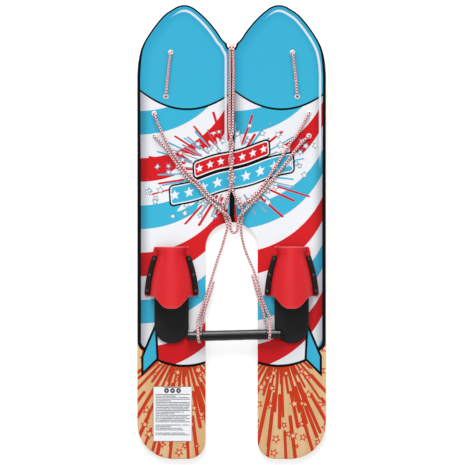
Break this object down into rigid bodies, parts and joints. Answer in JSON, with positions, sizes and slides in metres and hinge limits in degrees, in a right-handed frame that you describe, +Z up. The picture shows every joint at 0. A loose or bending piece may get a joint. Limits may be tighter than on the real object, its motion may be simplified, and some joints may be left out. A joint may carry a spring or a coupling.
{
  "type": "water ski trainer",
  "caption": "One-piece twin-tip water ski trainer for children, with rubber toe bindings on foam foot pads and a rope-held handle.",
  "frame": {"origin": "on the floor under the middle of the board", "axes": "+Y along the board towards the tips, +Z up, +X to the right seen from above"},
  "size_m": [0.471, 1.133, 0.099],
  "materials": {
    "board": "glossy lacquer over a printed film",
    "eyelet": "satin",
    "foam": "matte closed-cell foam",
    "strap_rubber": "satin moulded rubber",
    "black_plastic": "moulded, satin",
    "screw_steel": "blackened",
    "handle_tube": "gloss black coat",
    "grip_rubber": "matte foam rubber",
    "rope": "braided polypropylene, white with red tracer",
    "label": "satin vinyl"
  },
  "bodies": {
    "board_assembly": {"board": "board", "eyelet_left_1": "eyelet", "eyelet_left_2": "eyelet", "eyelet_left_3": "eyelet", "eyelet_left_4": "eyelet", "eyelet_right_1": "eyelet", "eyelet_right_2": "eyelet", "eyelet_right_3": "eyelet", "eyelet_right_4": "eyelet", "foot_pad_left": "foam", "toe_strap_left": "strap_rubber", "side_plate_left_outer": "black_plastic", "screw_left_outer_1": "screw_steel", "screw_left_outer_2": "screw_steel", "screw_left_outer_3": "screw_steel", "side_plate_left_inner": "black_plastic", "screw_left_inner_1": "screw_steel", "screw_left_inner_2": "screw_steel", "screw_left_inner_3": "screw_steel", "foot_pad_right": "foam", "toe_strap_right": "strap_rubber", "side_plate_right_outer": "black_plastic", "screw_right_outer_1": "screw_steel", "screw_right_outer_2": "screw_steel", "screw_right_outer_3": "screw_steel", "side_plate_right_inner": "black_plastic", "screw_right_inner_1": "screw_steel", "screw_right_inner_2": "screw_steel", "screw_right_inner_3": "screw_steel", "label": "label", "centre_rope_left": "rope", "side_rope_left": "rope", "tip_rope_left": "rope", "under_rope_left": "rope", "stopper_knot_left": "rope", "centre_rope_right": "rope", "side_rope_right": "rope", "tip_rope_right": "rope", "under_rope_right": "rope", "stopper_knot_right": "rope", "bridle_rope": "rope"},
    "handle_lines": {"handle_rope_left": "rope", "handle_rope_right": "rope", "handle_eye_left": "rope", "handle_eye_right": "rope"},
    "handle_bar": {"handle_tube": "handle_tube", "handle_grip": "grip_rubber", "handle_cap_left": "black_plastic", "handle_cap_right": "black_plastic"}
  },
  "joints": [
    {"name": "handle_lift", "type": "hinge", "parent": "board_assembly", "child": "handle_lines", "pos_m": [0.006, 0.01, 0.0168], "axis": [-1, 0, 0], "range_deg": [0, 120]},
    {"name": "handle_spin", "type": "hinge", "parent": "handle_lines", "child": "handle_bar", "pos_m": [0.007, -0.257, 0.0326], "axis": [0.9997, 0.0253, 0], "continuous": true}
  ]
}
